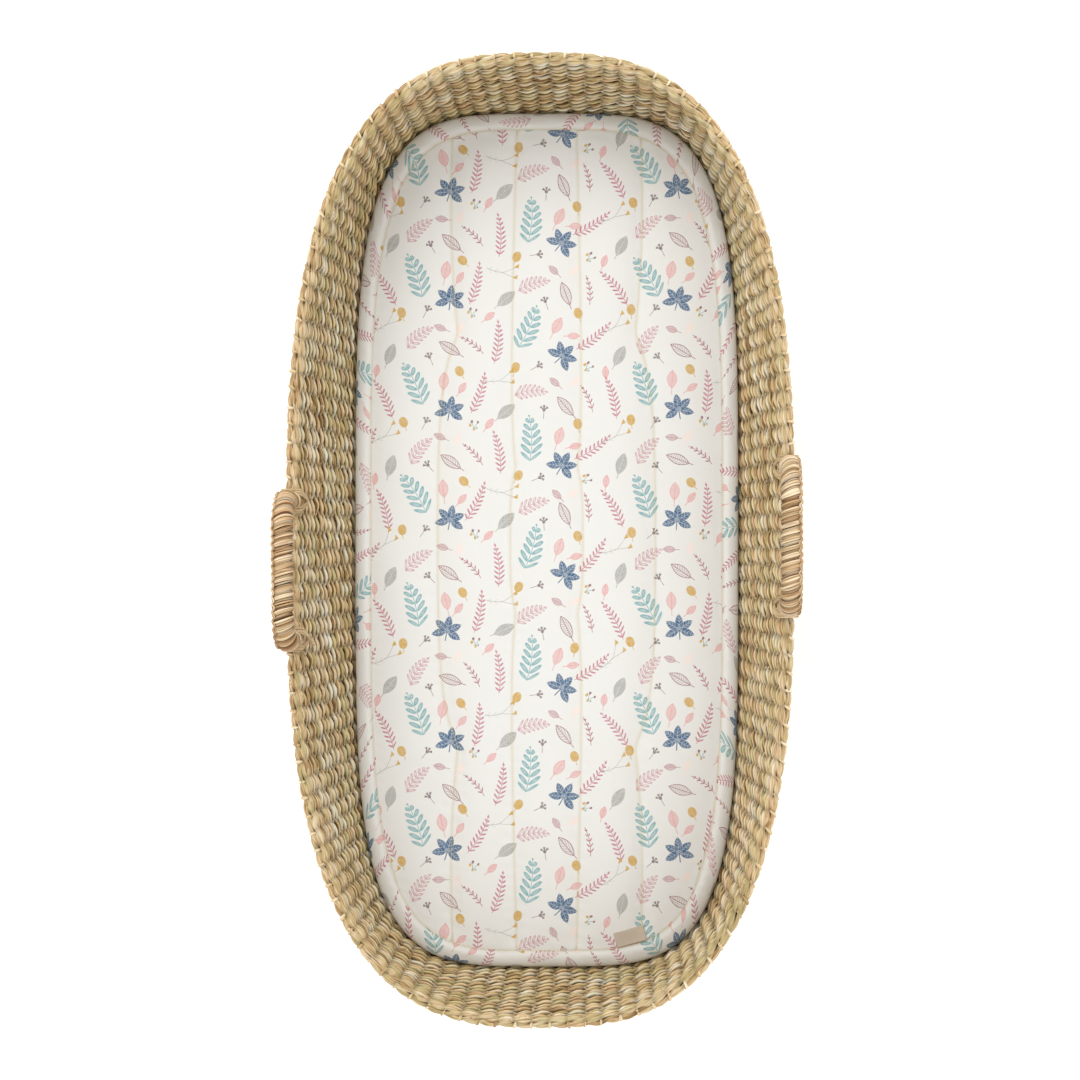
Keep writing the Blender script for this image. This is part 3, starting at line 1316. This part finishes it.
def label_paint():
    """Woven tape: a twill of fine ribs, with a plain line woven in just inside its edge."""
    paint = Paint("label tape", 0.8, Specular_IOR_Level=0.3)
    x, y, _ = paint.split(paint.uv("strand"))
    x, y = x * 1000, y * 1000
    ribs_seen = ((x + y) * 7.0).sine() * 0.5 + 0.5
    fleck = paint.noise(paint.place(x * 3, y * 3), 1.0, 2.0)
    colour = paint.blend(ribs_seen * 0.5 + fleck * 0.5, linear(190, 175, 156), linear(214, 201, 184))
    return paint.finish(colour, 0.78 + fleck * 0.1, ribs_seen * 0.6 + fleck * 0.4, 0.5, 0.0003)


def make_label():
    """A blank tag, laid out beside the seam, that follows the cloth it is sewn to."""
    before, after = oval(SEAM_HALF, SEAM_HEIGHT, LABEL_ANGLE + np.array([-LABEL_STEP, LABEL_STEP]))[:, :2]
    ahead = unit(after - before)
    inward = np.array([-ahead[1], ahead[0]])
    rows = np.linspace(-LABEL_WIDTH / 2, LABEL_WIDTH / 2, 29)
    columns = np.linspace(0.5, LABEL_LENGTH + 0.5, 15)
    places = (before + after) / 2 + rows[:, None, None] * ahead + columns[None, :, None] * inward
    height = cloth_height(places[..., 0], places[..., 1]) + 0.25 * np.sin(rows / 5)[:, None]
    lower, upper = (np.concatenate([places, (height + lift)[..., None]], -1) for lift in LABEL_FACES)
    points = np.concatenate([upper, lower[:, ::-1]], 1)[None, ::-1]
    piece = tube_piece("blank_label", points, label_paint(), "mattress", "label_tape", {}, 30.0, False, 120)
    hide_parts("cover_label")


def cad_paint(name, first, second, roughness, scale, metallic=0.0):
    """A finish for a piece kept from the CAD, with a fine grain in its own place."""
    paint = Paint(name, roughness, Metallic=metallic)
    grain = paint.noise(paint.object_place(), scale, 3.0)
    colour = paint.blend(grain, linear(*first), linear(*second))
    return paint.finish(colour, roughness + (grain - 0.5) * 0.3, grain, 0.4, 0.0002)


def make_zip():
    """Cloth for the tape, metal for the slider, and the coil: a fine strand in a flat spiral along the band."""
    tape = cad_paint("zip tape cloth", (226, 218, 200), (242, 236, 222), 0.85, 1800)
    metal = cad_paint("zip slider metal", (176, 172, 164), (206, 202, 194), 0.34, 300, 0.9)
    for node, material in (("zip_tape", tape), ("zip_slider", metal)):
        for holder in bpy.data.objects[node].material_slots:
            holder.material = material
    lean = math.atan((half_width(ZIP_HIGH) - half_width(ZIP_LOW)) / (ZIP_HIGH - ZIP_LOW))
    half = mattress_half_width(ZIP_HEIGHT, ZIP_RECESS)
    corners = oval(half, ZIP_HEIGHT, math.pi + np.arange(3, -4, -1) * math.pi / 24)
    length = running(np.linalg.norm(np.diff(corners, axis=0), axis=1))
    turns = int((length[-1] - 4) / COIL_PITCH)
    s = np.linspace(2, length[-1] - 2, turns * 8)
    middle = np.stack([np.interp(s, length, corners[:, k]) for k in range(3)], -1)
    angle = 2 * math.pi * s / COIL_PITCH
    outward = np.array([-math.cos(lean), 0, -math.sin(lean)])
    upward = np.array([-math.sin(lean), 0, math.cos(lean)])
    away = COIL_OUT + COIL_HALF_DEPTH * np.cos(angle)
    path = middle + away[:, None] * outward + (COIL_HALF_HEIGHT * np.sin(angle))[:, None] * upward
    points = carried(path[None], outward, COIL_THREAD, 5)
    material = cad_paint("zip coil nylon", (222, 214, 196), (240, 234, 220), 0.4, 900)
    piece = tube_piece("zip_coil_teeth", points, material, "mattress", "zip_tape", {}, 1.8, False, 121)
    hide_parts("zip_coil")


make_label()
make_zip()

# ---------------------------------------------------------------- floor
FLOOR_REACH = 6.0


def make_floor():
    """A plain white sheet on the ground."""
    paint = Paint("floor white", 0.9, Emission_Color=(1, 1, 1, 1), Emission_Strength=0.3)
    grain = paint.noise(paint.object_place(), 6.0, 2.0)
    colour = paint.blend(grain, (0.93, 0.93, 0.93, 1), (0.96, 0.96, 0.96, 1))
    mesh = bpy.data.meshes.new("floor")
    corners = [(x * FLOOR_REACH, y * FLOOR_REACH, 0) for x, y in ((-1, -1), (1, -1), (1, 1), (-1, 1))]
    mesh.from_pydata(corners, [], [(0, 1, 2, 3)])
    mesh.materials.append(paint.finish(colour))
    new_object("floor", mesh)


make_floor()
